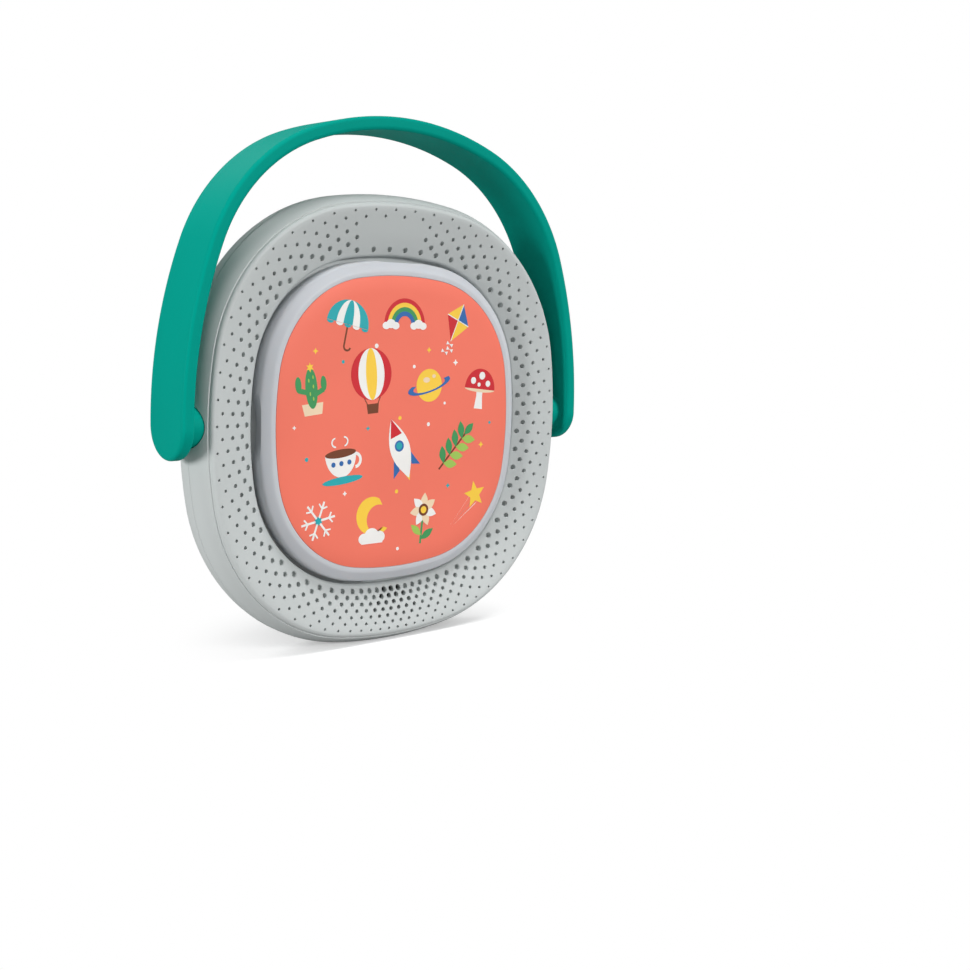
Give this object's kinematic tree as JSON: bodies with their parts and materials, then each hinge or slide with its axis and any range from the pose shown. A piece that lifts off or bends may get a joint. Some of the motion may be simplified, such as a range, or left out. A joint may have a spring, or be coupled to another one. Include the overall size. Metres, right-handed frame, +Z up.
{
  "type": "audio story player",
  "caption": "Rounded-square children's audio player with a lift-off magnetic picture disc, a perforated speaker surround and a swinging carrying handle.",
  "frame": {"origin": "centre of the flat on which the player stands", "axes": "+Z up, the front with the picture disc looks towards -Y, +X to the viewer's right; the handle swings about X"},
  "size_m": [0.1916, 0.0336, 0.2021],
  "materials": {
    "housing_grey": "fine moulded texture",
    "handle_teal": "satin",
    "disc_frost": "frosted",
    "print_coral": "satin film",
    "button_grey": "satin",
    "black_plastic": "matt",
    "washer_nylon": "waxy",
    "board_green": "solder mask",
    "screw_steel": "zinc plated",
    "contact_steel": "nickel plated",
    "magnet_nickel": "nickel plated",
    "speaker_iron": "matt ferrite",
    "cone_paper": "pressed paper",
    "cloth_black": "woven",
    "gasket_foam": "foam",
    "cell_jacket": "plain jacket",
    "tag_foil": "film with coil"
  },
  "bodies": {
    "player_body": {"front_housing": "housing_grey", "rear_housing": "housing_grey", "housing_screws": "screw_steel", "dish_magnets": "magnet_nickel", "sensor_board": "board_green", "main_board": "board_green", "board_screws": "screw_steel", "button_switches": "black_plastic", "headphone_jack": "black_plastic", "battery_cells": "cell_jacket", "battery_contacts": "contact_steel", "speaker_frame": "black_plastic", "speaker_cone": "cone_paper", "speaker_magnet": "speaker_iron", "speaker_gasket": "gasket_foam", "speaker_cloth": "cloth_black"},
    "carrying_handle": {"handle": "handle_teal", "handle_friction_washers": "washer_nylon", "handle_retainers": "black_plastic", "handle_screws": "screw_steel"},
    "picture_disc": {"disc_shell": "disc_frost", "disc_print": "print_coral", "disc_back": "disc_frost", "disc_magnets": "magnet_nickel", "disc_tag": "tag_foil"},
    "power_key": {"power_button": "button_grey"},
    "volume_down_key": {"volume_down_button": "button_grey"},
    "volume_up_key": {"volume_up_button": "button_grey"},
    "bay_door": {"battery_door": "housing_grey", "battery_door_screw": "screw_steel"}
  },
  "joints": [
    {"name": "handle_swing", "type": "hinge", "parent": "player_body", "child": "carrying_handle", "pos_m": [0, -0.00072, 0.088], "axis": [1, 0, 0], "range_deg": [-125, 125]},
    {"name": "disc_lift", "type": "slide", "parent": "player_body", "child": "picture_disc", "axis": [0, -1, 0], "range_m": [0, 0.06]},
    {"name": "power_press", "type": "slide", "parent": "player_body", "child": "power_key", "axis": [0, -1, 0], "range_m": [0, 0.0008], "stiffness_N_per_m": 900},
    {"name": "volume_down_press", "type": "slide", "parent": "player_body", "child": "volume_down_key", "axis": [0, -1, 0], "range_m": [0, 0.0008], "stiffness_N_per_m": 900},
    {"name": "volume_up_press", "type": "slide", "parent": "player_body", "child": "volume_up_key", "axis": [0, -1, 0], "range_m": [0, 0.0008], "stiffness_N_per_m": 900},
    {"name": "battery_door_off", "type": "slide", "parent": "player_body", "child": "bay_door", "axis": [0, 1, 0], "range_m": [0, 0.03]}
  ]
}
